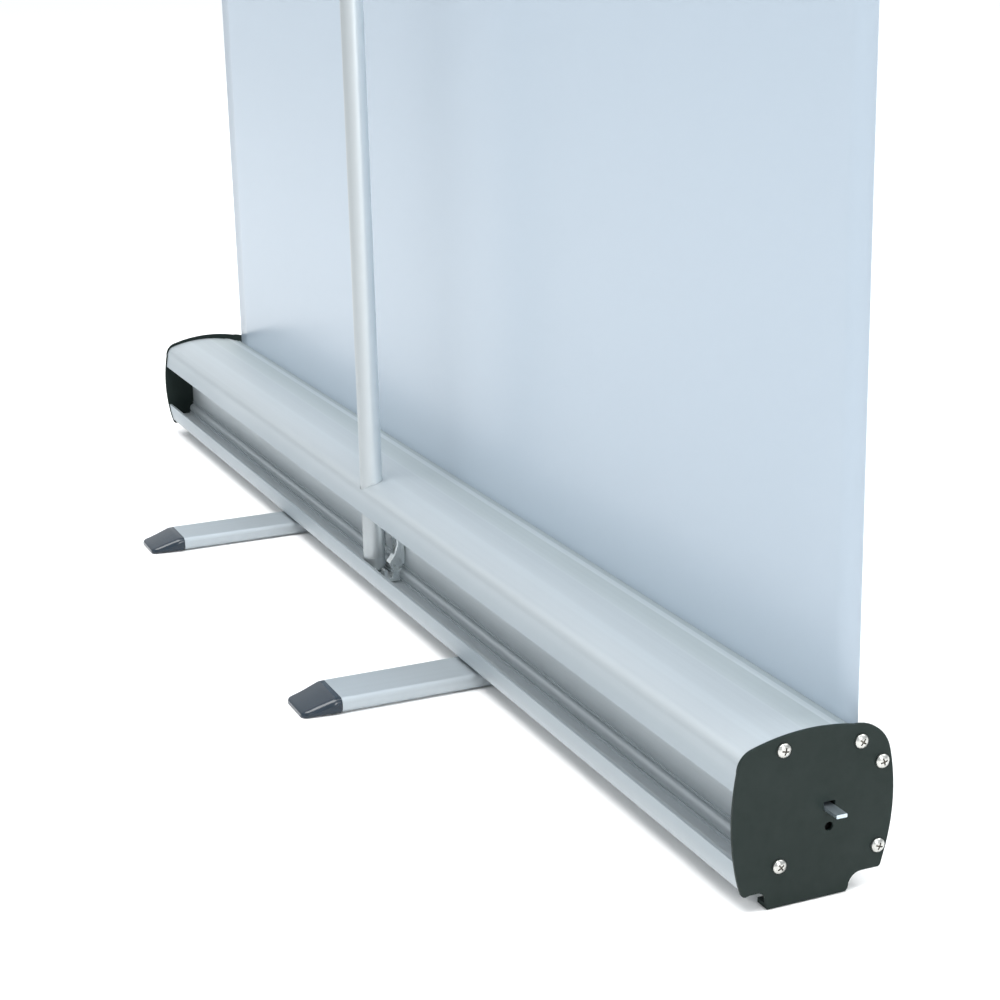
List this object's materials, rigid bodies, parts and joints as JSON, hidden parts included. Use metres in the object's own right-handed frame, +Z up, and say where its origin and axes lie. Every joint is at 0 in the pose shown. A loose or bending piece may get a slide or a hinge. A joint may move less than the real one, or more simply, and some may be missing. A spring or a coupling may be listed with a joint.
{
  "type": "roll-up banner stand",
  "caption": "Floor-standing roll-up banner stand: aluminium casing with spring roller, end plates, swivel feet, sectional rear pole, clip top rail and raised plain film.",
  "frame": {"origin": "on the floor under the middle of the base casing", "axes": "+Z up, +X along the casing towards its right end seen from the printed side, +Y to the rear, where the pole stands"},
  "size_m": [0.8811, 0.245, 2.0725],
  "materials": {
    "anodised_aluminium": "satin anodised",
    "end_plate_coat": "matte powder coat, dark green-grey",
    "plated_steel": "bright zinc plated",
    "spring_steel": "oiled",
    "banner_film": "satin, pale blue-grey back",
    "foot_cap_plastic": "semi-gloss dark grey",
    "black_plastic": "satin black",
    "silver_plastic": "satin silver",
    "nylon": "natural nylon",
    "elastic_cord": "braided elastic"
  },
  "bodies": {
    "base": {"base_casing": "anodised_aluminium", "end_plate_left": "end_plate_coat", "end_plate_right": "end_plate_coat", "end_plate_screws_left": "plated_steel", "end_plate_screws_right": "plated_steel", "spring_shaft": "plated_steel", "spring_collar": "plated_steel", "torsion_spring": "spring_steel", "idle_pin": "plated_steel", "pole_bracket": "plated_steel", "bracket_rivets": "plated_steel", "foot_nut_plates": "plated_steel", "foot_pivot_bolts": "plated_steel", "foot_washers": "nylon", "banner_film": "banner_film"},
    "roller": {"roller_tube": "anodised_aluminium", "roller_plug_left": "black_plastic", "roller_plug_right": "black_plastic", "spring_anchor_plug": "black_plastic", "wound_film": "banner_film"},
    "foot_left": {"foot_bar_left": "anodised_aluminium", "foot_cap_left_front": "foot_cap_plastic", "foot_cap_left_rear": "foot_cap_plastic"},
    "foot_right": {"foot_bar_right": "anodised_aluminium", "foot_cap_right_front": "foot_cap_plastic", "foot_cap_right_rear": "foot_cap_plastic"},
    "pole": {"pole_lower": "anodised_aluminium", "pole_middle": "anodised_aluminium", "pole_upper": "anodised_aluminium", "pole_ferrule_lower": "plated_steel", "pole_ferrule_upper": "plated_steel", "pole_foot_plug": "silver_plastic", "pole_head": "black_plastic", "pole_bungee": "elastic_cord", "bungee_anchors": "plated_steel"},
    "rail": {"top_rail_back": "anodised_aluminium", "top_rail_front": "anodised_aluminium", "rail_cap_left": "black_plastic", "rail_cap_right": "black_plastic", "rail_hanger": "plated_steel", "hanger_rivets": "plated_steel"}
  },
  "joints": [
    {"name": "foot_left_swivel", "type": "hinge", "parent": "base", "child": "foot_left", "pos_m": [-0.15, 0, 0.004], "axis": [0, 0, 1], "range_deg": [-90, 90]},
    {"name": "foot_right_swivel", "type": "hinge", "parent": "base", "child": "foot_right", "pos_m": [0.15, 0, 0.004], "axis": [0, 0, 1], "range_deg": [-90, 90]},
    {"name": "pole_lift", "type": "slide", "parent": "base", "child": "pole", "axis": [0, 0, 1], "range_m": [0, 0.053]},
    {"name": "banner_retract", "type": "slide", "parent": "pole", "child": "rail", "axis": [0, 0, -1], "range_m": [0, 1.9695], "deforming": ["banner_film"]},
    {"name": "roller_spin", "type": "hinge", "parent": "base", "child": "roller", "pos_m": [0, -0.0095, 0.0385], "axis": [1, 0, 0], "continuous": true}
  ],
  "couplings": [
    {"joint": "roller_spin", "follows": "banner_retract", "rad_per_m": 54.3}
  ]
}
